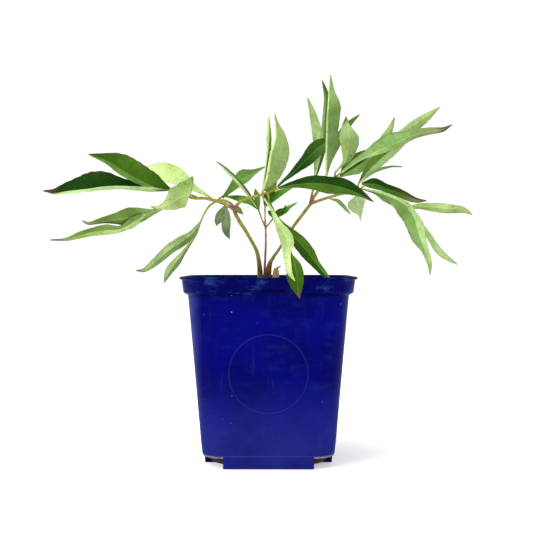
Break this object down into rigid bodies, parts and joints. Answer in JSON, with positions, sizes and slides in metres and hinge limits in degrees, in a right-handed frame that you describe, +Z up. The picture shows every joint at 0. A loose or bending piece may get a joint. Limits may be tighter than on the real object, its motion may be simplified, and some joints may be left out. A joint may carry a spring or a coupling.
{
  "type": "potted peony plant",
  "caption": "Young herbaceous peony in leaf with long lobed leaflets on arching stems, growing in a square blue moulded nursery pot filled with bark potting mix.",
  "frame": {"origin": "middle of the pot's flat base, on the surface that it stands on", "axes": "+Z up, +X to the right across the plant's widest spread, -Y towards the pot's front face with the raised ring"},
  "size_m": [0.4075, 0.179, 0.3749],
  "materials": {
    "pot": "deep blue moulded plastic, satin, dusty towards the foot",
    "soil": "dark composted bark potting mix",
    "root": "brown fleshy crown and roots",
    "stem": "smooth olive stems flushed red-brown",
    "straw": "dry papery sheath",
    "leaf": "dark green satin upper face, pale grey-green under face, brown tips"
  },
  "bodies": {
    "root": {"pot": "pot", "soil": "soil", "root_crown": "root", "stem_left": "stem", "stem_right": "stem", "stem_centre": "stem", "dry_sheath": "straw", "leaflet_left_end": "leaf", "leaflet_left_top": "leaf", "leaflet_left_twisted": "leaf", "leaflet_left_low": "leaf", "leaflet_left_hanging": "leaf", "leaflet_rear_hanging": "leaf", "leaflet_rear_top": "leaf", "leaflet_centre_left": "leaf", "leaflet_centre_middle": "leaf", "leaflet_centre_right": "leaf", "leaflet_mid_upright": "leaf", "leaflet_mid_rising": "leaf", "leaflet_mid_long": "leaf", "leaflet_front_pale": "leaf", "leaflet_front_dark": "leaf", "leaflet_right_tall": "leaf", "leaflet_right_tall_rear": "leaf", "leaflet_right_upright": "leaf", "leaflet_right_long": "leaf", "leaflet_right_short": "leaf", "leaflet_right_behind": "leaf", "leaflet_right_dark": "leaf", "leaflet_right_drooping": "leaf", "leaflet_right_hanging": "leaf", "leaflet_right_thin": "leaf"}
  },
  "joints": []
}
